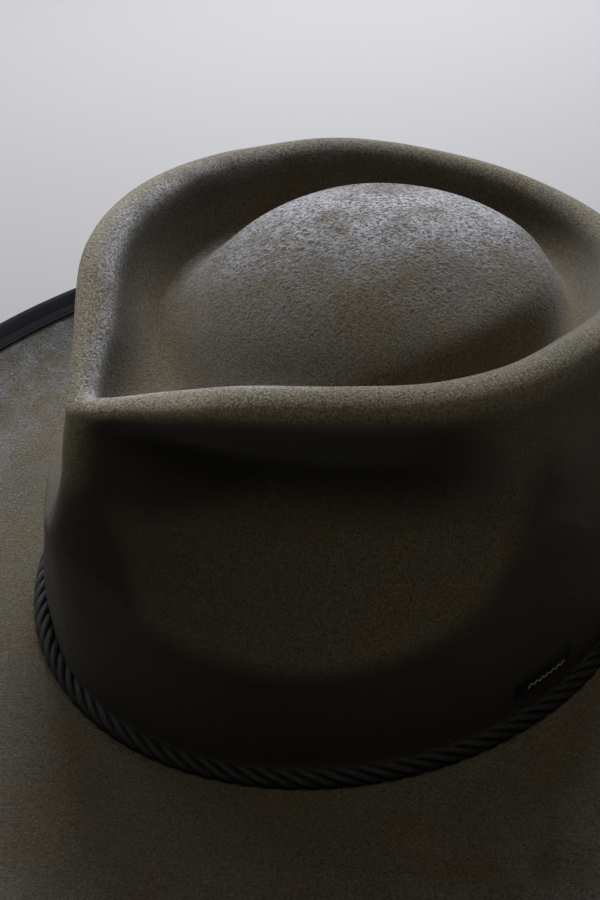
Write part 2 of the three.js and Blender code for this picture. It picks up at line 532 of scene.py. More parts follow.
    def brim_point(self, angle: np.ndarray, out: float) -> np.ndarray:
        """Gives a point on the brim's top.

        Args:
            angle: Angles from the front, in radians.
            out: Distance out from the head oval.

        Returns:
            Radius and height at each angle.
        """
        curl = max(0.0, (out - self.brim_flat) / (self.brim_width - self.brim_flat))
        height = self.felt_thickness + self.brim_curl * curl**2
        return np.stack([self.oval_radius(angle, out), np.full_like(angle, height)], axis=1)

    def brim_outline(self, angle: np.ndarray, fillet_steps: int, outs: np.ndarray) -> np.ndarray:
        """Runs the brim's top surface from the foot's fillet to the edge.

        Args:
            angle: Angles from the front, in radians.
            fillet_steps: How many steps the fillet takes.
            outs: Distances out from the head oval, after the fillet.

        Returns:
            Radius and height of each point, for each angle.
        """
        found = []
        for step in range(1, fillet_steps + 1):
            turn = 0.5 * math.pi * step / fillet_steps
            radius = self.oval_radius(angle, self.foot_fillet * (1 - math.cos(turn)))
            height = self.felt_thickness + self.foot_fillet * (1 - math.sin(turn))
            found.append(np.stack([radius, np.full_like(angle, height)], axis=1))
        found += [self.brim_point(angle, out) for out in outs]
        return np.stack(found, axis=1)


def offset_outline(outline: np.ndarray, distance: float) -> np.ndarray:
    """Moves each section's outline along its own normals.

    Args:
        outline: Radius and height of each point, for each angle.
        distance: How far out of the felt, or into it if negative.

    Returns:
        The moved outline.
    """
    ahead = np.concatenate([outline[:, 1:], outline[:, -1:]], axis=1)
    behind = np.concatenate([outline[:, :1], outline[:, :-1]], axis=1)
    along = unit(ahead - behind)
    return outline + distance * np.stack([-along[:, :, 1], along[:, :, 0]], axis=2)


def rounded_edge(top: np.ndarray, thickness: float, reach: float, steps: int) -> np.ndarray:
    """Runs a half circle from the brim's upper side round its edge to the lower side.

    Args:
        top: Radius and height of each point of the upper side, for each angle.
        thickness: The felt's thickness, whose middle the half circle goes round.
        reach: The half circle's radius.
        steps: How many steps it takes.

    Returns:
        Radius and height of each point between the two sides, for each angle.
    """
    middle = offset_outline(top, -thickness / 2)[:, -1]
    start = np.arctan2(*(top[:, -1] - middle)[:, ::-1].T)
    turns = [start - math.pi * step / steps for step in range(1, steps)]
    return np.stack(
        [middle + reach * np.stack([np.cos(turn), np.sin(turn)], axis=1) for turn in turns], axis=1
    )


def stand_up(outline: np.ndarray, angle: np.ndarray) -> np.ndarray:
    """Places each section's radius and height in space.

    Args:
        outline: Radius and height of each point, for each angle.
        angle: The angles from the front, in radians.

    Returns:
        X, Y and Z of each point, for each angle.
    """
    turn = angle[:, None]
    radius, height = outline[..., 0], outline[..., 1]
    return np.stack([radius * np.sin(turn), -radius * np.cos(turn), height], axis=-1)


@dataclass(frozen=True)
class Lumps:
    """A cloudy pattern's real size, and how rough it is."""

    size_mm: float
    detail: float = 2.0
    roughness: float = 0.5
    distortion: float = 0.0

    def inputs(self, place: bpy.types.NodeSocket) -> Inputs:
        """Lists the pattern's inputs at the places on a piece."""
        rest = zip(("Detail", "Roughness", "Distortion"), astuple(self)[1:])
        return {"Vector": place, "Scale": 1 / (self.size_mm * MM), **dict(rest)}


@dataclass(frozen=True)
class Spread:
    """How a pattern between low and high is stretched to a share from start to end."""

    low: float
    high: float
    start: float = 0.0
    end: float = 1.0

    def inputs(self, pattern: bpy.types.NodeSocket) -> Inputs:
        """Lists the stretch's inputs for a pattern, in their order."""
        return dict(enumerate((pattern, *astuple(self))))


class Finish(ABC):
    """A real material's look, made of nodes."""

    name: str

    @abstractmethod
    def surface(self, tree: bpy.types.NodeTree) -> Inputs:
        """Lays the nodes of colour and relief, and lists the shader's inputs."""

    def build(self) -> bpy.types.Material:
        """Makes the material.

        Returns:
            The material, whose shader has the finish's inputs.
        """
        material = bpy.data.materials.new(self.name)
        material.use_nodes = True
        tree = material.node_tree
        tree.nodes.clear()
        shader = add_node(tree, "BsdfPrincipled", self.surface(tree))
        add_node(tree, "OutputMaterial", {"Surface": shader})
        return material


@dataclass(frozen=True)
class WoolFelt(Finish):
    """Wool felt, steamed over a block, brushed and left with a well-used, cloudy nap.

    The eye gets a matt olive taupe with cool and warm clouds, pebbled clumps of fibre with pale
    hairs among them and painted shade in their pits, a crown of dusting and painted sheen, painted
    highlights on the crest and the dome, painted shade in the pinches, the channel and low on the
    wall, and a soft pale sheen where the surface turns away.
    """

    name: str = "brushed_wool_felt"
    warm: str = "#5f553b"
    cool: str = "#5a564a"
    # Dusting and painted sheen: the pale blue-grey laid on the dome and on the brim
    dust_and_sheen_colour: str = "#9094a0"
    # Painted highlight: the near-white laid on the crest's inner edge and on the dome's top
    pale_highlight_colour: str = "#d0d1d5"
    shade: str = "#2e281a"
    hair: str = "#aca58f"
    # Painted highlight: the pale colour laid on the crest and the tip's upright fold
    crest_highlight_colour: str = "#bab297"
    # Painted shade: the near-black laid in the side pinch, the channel, low on the wall and on the
    # brim beside it
    painted_shade_colour: str = "#25231d"
    sheen: str = "#d0ccc2"
    roughness: float = 0.92
    clouds: Lumps = Lumps(34.0, 3.0, 0.55)
    mottle: Lumps = Lumps(14.0, 5.0, 0.62)
    # Wool fibres, about 0.02 mm thick, are too fine to show: their clumps, hairs and specks are
    # drawn coarser than they are
    grain: Lumps = Lumps(0.7, 2.0, 0.6, 0.9)
    pebbles: Lumps = Lumps(1.2, 2.0, 0.6, 0.5)
    hairs: Lumps = Lumps(0.8, 2.0, 0.6, 1.6)
    specks: Lumps = Lumps(0.4, 1.0, 0.7)
    grain_depth_mm: float = 1.9
    hair_depth_mm: float = 0.14
    cloud_share: Spread = Spread(0.38, 0.62)
    dust_and_sheen_by_mottle: Spread = Spread(0.38, 0.62, 0.05)
    dust_and_sheen_by_grain: Spread = Spread(0.38, 0.58, 0.25)
    crest_highlight_by_grain: Spread = Spread(0.36, 0.58, 0.5)
    pale_highlight_by_mottle: Spread = Spread(0.36, 0.58, 0.3)
    pale_highlight_by_grain: Spread = Spread(0.36, 0.56, 0.45)
    # Painted shade in the pits between the fibre clumps
    pit_share: Spread = Spread(0.5, 0.32, 0.0, 0.85)
    pits_by_crest_highlight: Spread = Spread(0.0, 0.9, 1.0, 0.45)
    hair_share: Spread = Spread(0.03, 0.0, 0.0, 0.65)
    painted_shade_share: Spread = Spread(0.0, 0.9, 0.0, 0.92)
    speck_light: Spread = Spread(0.3, 0.7, 0.45, 1.55)
    grain_strength: Spread = Spread(0.0, 1.0, 0.5)

    def surface(self, tree: bpy.types.NodeTree) -> Inputs:
        """Lays dusting, painted sheen and highlights, hairs and painted shade over the clouded
        felt.

        Args:
            tree: The material's node tree.

        Returns:
            The shader's inputs.
        """
        place = add_node(tree, "TexCoord", {}, "Object")
        dust_and_sheen, pinch, crest_highlight, pale_highlight, pebbled = (
            add_node(tree, "Attribute", {}, "Fac", attribute_name=mark)
            for mark in ("dust_and_sheen", "pinch", "crest_highlight", "pale_highlight", "pebbled")
        )
        patterns = (self.clouds, self.mottle, self.grain, self.pebbles, self.hairs, self.specks)
        clouds, mottle, fine_grain, pebbles, hairs, specks = (
            add_node(tree, "TexNoise", pattern.inputs(place)) for pattern in patterns
        )
        grain = add_node(
            tree, "Mix", {0: pebbled, 2: fine_grain, 3: pebbles}, data_type="FLOAT"
        )
        offset = add_node(tree, "Math", {0: hairs, 1: 0.5}, operation="SUBTRACT")
        ridge = add_node(tree, "Math", {0: offset}, operation="ABSOLUTE")
        spreads = (
            (self.cloud_share, clouds),
            (self.dust_and_sheen_by_mottle, mottle),
            (self.dust_and_sheen_by_grain, grain),
            (self.crest_highlight_by_grain, grain),
            (self.pale_highlight_by_mottle, mottle),
            (self.pale_highlight_by_grain, grain),
            (self.pit_share, grain),
            (self.pits_by_crest_highlight, crest_highlight),
            (self.hair_share, ridge),
            (self.painted_shade_share, pinch),
            (self.speck_light, specks),
            (self.grain_strength, pebbled),
        )
        shares = [add_node(tree, "MapRange", spread.inputs(source)) for spread, source in spreads]
        cloudy, mottle_dust_and_sheen, grain_dust_and_sheen, grain_crest_highlight, mottle_pale_highlight, grain_pale_highlight = shares[:6]
        pit, pit_under_crest_highlight, hair, painted_shade, speck, strength = shares[6:]
        # Each colour lies over the ones before it, where the product of its shares is high
        layers = (
            (self.cool, cloudy),
            (self.dust_and_sheen_colour, mottle_dust_and_sheen, dust_and_sheen, grain_dust_and_sheen),
            (self.crest_highlight_colour, crest_highlight, grain_crest_highlight),
            (self.pale_highlight_colour, mottle_pale_highlight, grain_pale_highlight, pale_highlight),
            # Painted shade in the pits, less under the crest's painted highlight
            (self.shade, pit, pit_under_crest_highlight),
            (self.hair, hair),
            # Painted shade in the pinches, the channel and low on the wall
            (self.painted_shade_colour, painted_shade),
        )
        colour = linear(self.warm)
        for over, share, *others in layers:
            for factor in others:
                share = add_node(tree, "Math", {0: share, 1: factor}, operation="MULTIPLY")
            colour = add_node(
                tree, "Mix", {0: share, 6: colour, 7: linear(over)}, 2, data_type="RGBA"
            )
        salted = add_node(tree, "VectorMath", {0: colour, "Scale": speck}, operation="SCALE")
        fine = add_node(tree, "Bump", {"Distance": self.hair_depth_mm * MM, "Height": hair})
        depth = self.grain_depth_mm * MM
        relief = {"Distance": depth, "Strength": strength, "Height": grain, "Normal": fine}
        return {
            "Base Color": salted,
            "Normal": add_node(tree, "Bump", relief),
            "Roughness": self.roughness,
            "IOR": 1.45,
            "Specular IOR Level": 0.2,
            "Sheen Weight": 0.5,
            "Sheen Roughness": 0.5,
            "Sheen Tint": linear(self.sheen),
        }


@dataclass(frozen=True)
class ThreadedFinish(Finish):
    """Threads side by side, painted light on top and painted shade between, uneven with lint."""

    name: str
    mark: str
    threads: float
    dark: str
    light: str
    lint: Lumps
    roughness: float
    relief: float
    relief_mm: float = 0.12

    def lay_threads(
        self, tree: bpy.types.NodeTree
    ) -> tuple[bpy.types.NodeSocket, bpy.types.NodeSocket]:
        """Lays the threads along the mesh's mark, which counts their turns.

        Args:
            tree: The material's node tree.

        Returns:
            The threads' colour, and the bumped normal.
        """
        place = add_node(tree, "TexCoord", {}, "Object")
        mark = add_node(tree, "Attribute", {}, "Fac", attribute_name=self.mark)
        phase = add_node(tree, "Math", {0: mark, 1: self.threads * TURN}, operation="MULTIPLY")
        wave = add_node(tree, "Math", {0: phase}, operation="SINE")
        rise = add_node(tree, "MapRange", Spread(-1.0, 1.0).inputs(wave))
        lint = add_node(tree, "TexNoise", self.lint.inputs(place))
        tone = add_node(tree, "Math", {0: rise, 1: lint}, operation="MULTIPLY")
        # Painted shade between the threads and painted highlight on their tops
        shades = {0: tone, 6: linear(self.dark), 7: linear(self.light)}
        bump = {"Strength": self.relief, "Distance": self.relief_mm * MM, "Height": rise}
        return add_node(tree, "Mix", shades, 2, data_type="RGBA"), add_node(tree, "Bump", bump)


@dataclass(frozen=True)
class TwistedYarn(ThreadedFinish):
    """Polyester yarn, twisted into strands and the strands into a cord.

    The eye gets charcoal strands with a fine slanted thread, painted highlight on the threads'
    tops, uneven with lint, and painted shade in the grooves between them. The threads are drawn
    about twice as coarse as real yarn, to show.
    """

    name: str = "twisted_polyester_yarn"
    mark: str = "yarn"
    threads: float = 7.0
    dark: str = "#121314"
    light: str = "#46484c"
    lint: Lumps = Lumps(1 / 1.4)
    roughness: float = 0.75
    relief: float = 0.7
    shade: str = "#060607"
    groove: Spread = Spread(0.08, 0.34)

    def surface(self, tree: bpy.types.NodeTree) -> Inputs:
        """Lays the threads and paints shade in the grooves.

        Args:
            tree: The material's node tree.

        Returns:
            The shader's inputs.
        """
        colour, normal = self.lay_threads(tree)
        # Painted shade in the grooves between the strands
        groove = add_node(tree, "Attribute", {}, "Fac", attribute_name="groove")
        deep = add_node(tree, "MapRange", self.groove.inputs(groove))
        shades = {0: deep, 6: colour, 7: linear(self.shade)}
        return {
            "Base Color": add_node(tree, "Mix", shades, 2, data_type="RGBA"),
            "Normal": normal,
            "Roughness": self.roughness,
            "Sheen Weight": 0.08,
            "Sheen Roughness": 0.5,
            "Sheen Tint": linear("#b9bab8"),
        }


@dataclass(frozen=True)
class RibbedRibbon(ThreadedFinish):
    """Grosgrain ribbon, woven with a thick weft.

    The eye gets dull charcoal cloth with fine ribs across its length, 0.6 mm apart.
    """

    name: str = "grosgrain_ribbon"
    mark: str = "turn"
    threads: float = 960.0
    dark: str = "#0b0c0e"
    light: str = "#1f2024"
    lint: Lumps = Lumps(6.25, 4.0)
    roughness: float = 0.7
    relief: float = 0.8

    def surface(self, tree: bpy.types.NodeTree) -> Inputs:
        """Lays the ribs.

        Args:
            tree: The material's node tree.

        Returns:
            The shader's inputs.
        """
        colour, normal = self.lay_threads(tree)
        return {
            "Base Color": colour,
            "Normal": normal,
            "Roughness": self.roughness,
            "Specular IOR Level": 0.14,
        }


@dataclass(frozen=True)
class WovenLabelCloth(Finish):
    """Damask label cloth, woven from fine polyester.

    The eye gets a near-black matt cloth with a barely visible weave. Its threads are drawn about
    four times as coarse as real ones, to show.
    """

    name: str = "woven_label_cloth"
    dark: str = "#0f1011"
    light: str = "#232324"
    roughness: float = 0.7
    thread_mm: float = 0.45
    # Bands at scale 1 repeat about every 0.32 units, and a repeat is two threads
    half_band: float = 0.16

    def surface(self, tree: bpy.types.NodeTree) -> Inputs:
        """Crosses upright and level threads.

        Args:
            tree: The material's node tree.

        Returns:
            The shader's inputs.
        """
        place = add_node(tree, "TexCoord", {}, "Object")
        scale = self.half_band / (self.thread_mm * MM)
        bands = {"Vector": place, "Scale": scale, "Distortion": 0.5}
        weft, warp = (
            add_node(tree, "TexWave", bands, "Fac", bands_direction=axis) for axis in ("Z", "Y")
        )
        cross = add_node(tree, "Math", {0: weft, 1: warp}, operation="MULTIPLY")
        shades = {0: cross, 6: linear(self.dark), 7: linear(self.light)}
        relief = {"Strength": 0.5, "Distance": 0.08 * MM, "Height": cross}
        return {
            "Base Color": add_node(tree, "Mix", shades, 2, data_type="RGBA"),
            "Normal": add_node(tree, "Bump", relief),
            "Roughness": self.roughness,
        }


@dataclass(frozen=True)
class SewingThread(Finish):
    """Spun sewing thread.

    The eye gets small rounded stitches with a soft twist.
    """

    name: str
    colour: str
    twist: Lumps = Lumps(0.25, 1.0)
    roughness: float = 0.6

    def surface(self, tree: bpy.types.NodeTree) -> Inputs:
        """Lays the twist on the plain thread.

        Args:
            tree: The material's node tree.

        Returns:
            The shader's inputs.
        """
        place = add_node(tree, "TexCoord", {}, "Object")
        twist = add_node(tree, "TexNoise", self.twist.inputs(place))
        relief = {"Strength": 0.5, "Distance": 0.06 * MM, "Height": twist}
        return {
            "Base Color": linear(self.colour),
            "Normal": add_node(tree, "Bump", relief),
            "Roughness": self.roughness,
            "Specular IOR Level": 0.2,
        }


@dataclass(frozen=True)
class PaintedFloor(Finish):
    """Matt emulsion on a smooth board: plain and pale."""

    name: str = "matt_pale_paint"
    colour: str = "#a3a29f"
    roughness: float = 0.9

    def surface(self, tree: bpy.types.NodeTree) -> Inputs:
        """Lists the plain paint's inputs."""
        return {"Base Color": linear(self.colour), "Roughness": self.roughness}


@dataclass
class FeltMarks:
    """Where the felt's upper side is dusted, pebbled, and has painted sheen, highlights and shade.

    Each mark has one number for each point of the surface, and is zero where there is none.
    Angles are in degrees from the front, and those on the wearer's right are negative.
    """

    shape: HatShape
    surface: np.ndarray
    angle: np.ndarray
    steps_to_crest: int

    dome_rim: Ramp = Ramp(101.0, 109.0)
    brim_below: float = 30.0
    # Dusting and painted sheen on the dome, centred towards the back right, and on the brim
    dust_and_sheen_centre: tuple[float, float] = (-17.0, 30.5)
    dust_and_sheen_turn: float = 60.0
    dust_and_sheen_across: float = 1.3
    dust_and_sheen_along: float = 0.62

    dome_dust_and_sheen: Ramp = Ramp(80.0, 28.0, 0.92)
    brim_dust_and_sheen: Ramp = Ramp(18.0, 73.0, 0.6)
    brim_dust_and_sheen_most: float = 1.25
    less_at_front: Bell = Bell(22.0, 45.0, 0.9)
    more_at_side: Bell = Bell(95.0, 35.0, 0.5)

    # Painted highlight on the crest's inner edge and on the dome's top
    edge_pale_highlight: Bell = Bell(0.0, 4.2, 1.3)
    dome_pale_highlight: Ramp = Ramp(50.0, 0.0, 1.1)
    pale_highlight_turn: float = 25.0
    pale_highlight_least: float = 0.35

    dome_pebbles: Ramp = Ramp(108.75, 33.75, least=0.3)
    brim_pebbles: float = 0.4

    # Painted shade in the side pinch's hollow and on the front, in the channel and low on the wall,
    # and painted shadow on the brim beside it
    pinch_depth: Ramp = Ramp(0.0, 20.0, 4.5, 0.3)
    pinch_drop: Ramp = Ramp(40.0, 15.0, 18.0)
    pinch_fade: float = 18.0
    pinch_at_dent: float = 0.85
    pinch_end: Ramp = Ramp(96.0, 81.0)
    tip_unshaded: Ramp = Ramp(1.0, 6.0)
    front_shade: Ramp = Ramp(62.0, 18.0, 0.5)
    front_foot: Ramp = Ramp(6.0, 16.0)
    below_shoulder: float = 0.1
    less_shade_right: Ramp = Ramp(0.0, 0.4, 0.5)

    channel_shade: float = 0.6
    channel_reach: Bell = Bell(0.0, 6.0)
    channel_shift: Ramp = Ramp(50.0, 90.0, 0.5)
    channel_less_at_side: Ramp = Ramp(50.0, 90.0, 0.08)

    wall_shade: float = 0.72
    wall_top: float = 2.0
    climb_behind: Ramp = Ramp(88.0, 103.0, 26.0)
    climb_front: Ramp = Ramp(22.0, 4.0, 20.0)
    blur: float = 9.0
    blur_side: Ramp = Ramp(70.0, 90.0, 8.0)
    blur_behind: Ramp = Ramp(105.0, 145.0, 25.0)
    foot_unshaded: Ramp = Ramp(4.0, 10.0)
    darker_behind: Ramp = Ramp(88.0, 103.0, 0.3)
    darker_until: Ramp = Ramp(150.0, 125.0)
    brim_shade: Bell = Bell(22.0, 40.0, 0.3)
    brim_shade_below: float = 16.0

    # Painted highlight on the crest, most at the front right, and on the tip's upright fold
    crest_highlight_amount: float = 0.9
    crest_highlight_reach: float = 6.5
    crest_highlight_turn: float = 20.0
    crest_highlight_fade: Ramp = Ramp(120.0, 0.0, least=0.36)
    tip_highlight: Bell = Bell(0.0, 5.0, 0.8)
    tip_highlight_rise: Ramp = Ramp(62.0, 92.0)

    def __post_init__(self) -> None:
        """Works out what several marks need."""
        self.guides = self.shape.crown_guides(self.angle)
        self.radius, self.height = self.surface[..., 0], self.surface[..., 1]
        self.degrees = np.degrees(wrapped(self.angle))[:, None]
        self.turned = np.abs(self.degrees)
        inside = self.radius < self.guides[:, Guide.CHANNEL_OUTSIDE, :1]
        self.on_dome = inside * self.dome_rim(self.height)
        spots = stand_up(self.surface, self.angle)[..., :2] - np.array(self.dust_and_sheen_centre)
        turn = math.radians(self.dust_and_sheen_turn)
        across = spots @ np.array([math.sin(turn), -math.cos(turn)])
        along = spots @ np.array([math.cos(turn), math.sin(turn)])
        self.from_dust_and_sheen = np.hypot(across * self.dust_and_sheen_across, along * self.dust_and_sheen_along)

    def distance(self, spot: np.ndarray) -> np.ndarray:
        """Gives each point's distance from its own section's spot."""
        return np.linalg.norm(self.surface - spot[:, None], axis=2)

    def dust_and_sheen(self) -> np.ndarray:
        """Marks dusting and painted sheen: the dome, and the brim away from the crown.

        Returns:
            About one where the dusting and painted sheen are strongest.
        """
        past_foot = self.radius - self.shape.oval_radius(self.angle, 0.0)[:, None]
        brim = self.brim_dust_and_sheen(past_foot) * (self.height < self.brim_below)
        brim *= self.brim_dust_and_sheen_most - self.less_at_front(self.degrees) + self.more_at_side(self.degrees)
        return self.dome_dust_and_sheen(self.from_dust_and_sheen) * self.on_dome + brim

    def pale_highlight(self) -> np.ndarray:
        """Marks the painted highlight on the crest's inner edge and on the dome's top.

        Returns:
            More than one where the painted highlight is brightest.
        """
        side = (1 + np.cos(self.angle + math.radians(self.pale_highlight_turn))) / 2
        side = np.clip(side, self.pale_highlight_least, 1)[:, None] ** 2
        edge = self.edge_pale_highlight(self.distance(self.guides[:, Guide.INNER_EDGE]))
        return side * edge + self.dome_pale_highlight(self.from_dust_and_sheen) * self.on_dome

    def pebbles(self) -> np.ndarray:
        """Marks where the fibre clumps are coarse: the dome's dusted, sheen-painted side most, the
        brim less.
        """
        on_brim = self.height < self.brim_below
        return self.dome_pebbles(self.from_dust_and_sheen) * self.on_dome + self.brim_pebbles * on_brim

    def side_pinch(self, outside: np.ndarray, shade_kept: np.ndarray) -> np.ndarray:
        """Marks painted shade in the hollow of the side pinch and on the front.

        Args:
            outside: Whether each point of a section lies outside the crest.
            shade_kept: How much of the painted shade each point of the outside keeps.

        Returns:
            One where the hollow is deep.
        """
        marks = (Guide.SHOULDER, Guide.DENT, Guide.BELLY)
        shoulder, dent, belly = (self.guides[:, mark] for mark in marks)
        share = (shoulder[:, 1:] - self.height) / (shoulder[:, 1:] - belly[:, 1:])
        line = shoulder[:, :1] + (belly[:, :1] - shoulder[:, :1]) * share
        depth = np.clip((line - self.radius) / self.pinch_depth(self.turned), 0, 1)
        over_dent = self.height - dent[:, 1:] + self.pinch_drop(self.turned)
        above = np.clip(over_dent / self.pinch_fade + self.pinch_at_dent, 0, 1)
        hollow_shade = depth * above * outside * (share > 0) * (share < 1) * self.pinch_end(self.turned)
        front = self.front_shade(self.turned) * shade_kept * (share > self.below_shoulder)
        return np.maximum(hollow_shade, front * self.front_foot(self.height)) * self.tip_unshaded(self.turned)

    def channel(self) -> np.ndarray:
        """Marks painted shade on the channel's steep side, and nearer the crest's edge at the hat's
        sides.

        Returns:
            Most in the middle of the steep side.
        """
        wall, edge = (self.guides[:, mark] for mark in (Guide.CHANNEL_WALL, Guide.INNER_EDGE))
        middle = wall + self.channel_shift(self.turned) * (edge - wall)
        less = self.channel_less_at_side(self.turned)
        return self.channel_reach(self.distance(middle)) * (self.channel_shade - less)

    def lower_wall(self) -> np.ndarray:
        """Marks painted shade on the lower wall, and painted shadow on the brim beside it at the
        front left.

        Returns:
            One on the shaded wall, less on the brim.
        """
        belly = self.guides[:, Guide.BELLY]
        climb = self.climb_behind(self.turned) + self.climb_front(self.turned)
        blur = self.blur + self.blur_side(self.turned) + self.blur_behind(self.turned)
        below = np.clip((belly[:, 1:] + self.wall_top + climb - self.height) / blur, 0, 1)
        below = below * self.foot_unshaded(self.height)
        below *= 1 + self.darker_behind(self.turned) * self.darker_until(self.turned)
        on_brim = (self.height < self.brim_shade_below) * (self.radius > belly[:, :1])
        return below + self.brim_shade(self.degrees) * on_brim

    def painted_shade(self) -> np.ndarray:
        """Marks the painted shade: the pinches, the channel and the lower wall.

        Returns:
            About one where the side pinch lies deep. The outside of the right has less.
        """
        outside = np.arange(self.surface.shape[1]) > self.steps_to_crest
        shade_kept = outside * (1 - self.less_shade_right(-np.sin(self.angle))[:, None])
        pinched = self.side_pinch(outside, shade_kept) + self.wall_shade * self.lower_wall()
        return shade_kept * pinched + self.channel() * ~outside

    def crest_highlight(self) -> np.ndarray:
        """Marks the painted highlight on the crest and on the tip's upright fold.

        Returns:
            Most on the tip's fold and on the crest at the front right.
        """
        crest = self.guides[:, Guide.CREST : Guide.SHOULDER + 1].mean(axis=1)
        away = wrapped(self.angle + math.radians(self.crest_highlight_turn))
        side = self.crest_highlight_fade(np.degrees(np.abs(away)))[:, None]
        lit_crest = self.crest_highlight_amount * side * np.exp(-((self.distance(crest) / self.crest_highlight_reach) ** 4))
        tip = self.tip_highlight(self.turned) * self.tip_highlight_rise(self.height)
        return np.maximum(lit_crest, tip * (self.radius > crest[:, :1]))


@dataclass
class FeltBody:
    """Crown and brim: one felt, with its folds, its waves and its thickness."""

    shape: HatShape
    turn_steps: int = 312
    crowding: float = 0.3
    crown_steps: tuple[int, ...] = (10, 8, 6, 8, 4, 5, 6, 5, 5, 6, 7, 9, 7, 5, 5, 9, 8)
    fillet_steps: int = 4
    flat_steps: int = 18
    curl_steps: int = 20
    edge_steps: int = 6
    wave_height: float = 0.35
    long_wave: float = 38.0
    short_wave: float = 14.0
    short_share: float = 0.4
    finish: WoolFelt = field(default_factory=WoolFelt)

    def upper_side(self, angle: np.ndarray) -> np.ndarray:
        """Runs the felt's upper surface from the dome's middle to the brim's edge.

        Args:
            angle: Angles from the front, in radians.

        Returns:
            Radius and height of each point, for each angle.
        """
        shape = self.shape
        flat = np.linspace(shape.foot_fillet, shape.brim_flat, self.flat_steps + 1)[1:]
        curl = np.linspace(shape.brim_flat, shape.brim_width, self.curl_steps + 1)[1:]
        crown = shape.crown_outline(angle, self.crown_steps)
        brim = shape.brim_outline(angle, self.fillet_steps, np.concatenate([flat, curl]))
        return np.concatenate([crown, brim], axis=1)

    def hand_waves(self, grid: np.ndarray) -> np.ndarray:
        """Works out the slight waves that blocking by hand leaves in the felt.

        Args:
            grid: Places on the felt's upper surface.

        Returns:
            How far each place moves.
        """
        lift = [
            noise.noise(Vector(spot / self.long_wave))
            + self.short_share * noise.noise(Vector(spot / self.short_wave))
            for spot in grid.reshape(-1, 3)
        ]
        return self.wave_height * np.array(lift).reshape(grid.shape[:2])[..., None] * unit(grid)

    def build(self) -> bpy.types.Object:
        """Makes the felt's closed mesh, with its marks for the finish.

        Returns:
            The felt.
        """
        shape = self.shape
        even = even_turns(self.turn_steps)
        # The sections lie closer together at the pinched front
        angle = even - self.crowding * np.sin(even)
        top = self.upper_side(angle)
        under = offset_outline(top, -shape.felt_thickness)
        under[:, 0] = top[:, 0] - [0, shape.felt_thickness]
        under[..., 1] = np.maximum(under[..., 1], 0)
        edge = rounded_edge(top, shape.felt_thickness, shape.felt_thickness / 2, self.edge_steps)
        section = np.concatenate([top, edge, under[:, ::-1]], axis=1)
        grid = stand_up(section, angle)
        rows = top.shape[1]
        grid[:, 1:rows] += self.hand_waves(grid[:, :rows])[:, 1:]
        body = grid[:, 1:-1]
        rings, sides = body.shape[:2]
        points = np.concatenate([body.reshape(-1, 3), [grid[0, 0], grid[0, -1]]])
        faces = grid_faces(rings, sides, closed_sides=False)
        crown_pole, lining_pole = rings * sides, rings * sides + 1
        for ring in range(rings):
            here, after = ring * sides, (ring + 1) % rings * sides
            faces.append([crown_pole, here, after])
            faces.append([lining_pole, after + sides - 1, here + sides - 1])
        marks = FeltMarks(shape, top, angle, sum(self.crown_steps[: Guide.CREST]))
        attributes = {
            "dust_and_sheen": marks.dust_and_sheen(),
            "pale_highlight": marks.pale_highlight(),
            "pebbled": marks.pebbles(),
            # The pinch mark carries the painted shade
            "pinch": marks.painted_shade(),
            "crest_highlight": marks.crest_highlight(),
        }
        for label, mark in attributes.items():
            values = np.zeros(section.shape[:2])
            values[:, :rows] = mark
            attributes[label] = np.concatenate([values[:, 1:-1].ravel(), [values[0, 0], 0]])
        return make_mesh("wool_felt_body", points, faces, attributes)

    def dress(self, piece: bpy.types.Object) -> None:
        """Gives the felt its finish and its place."""
        place_on(piece, self.finish.build(), "felt_body")


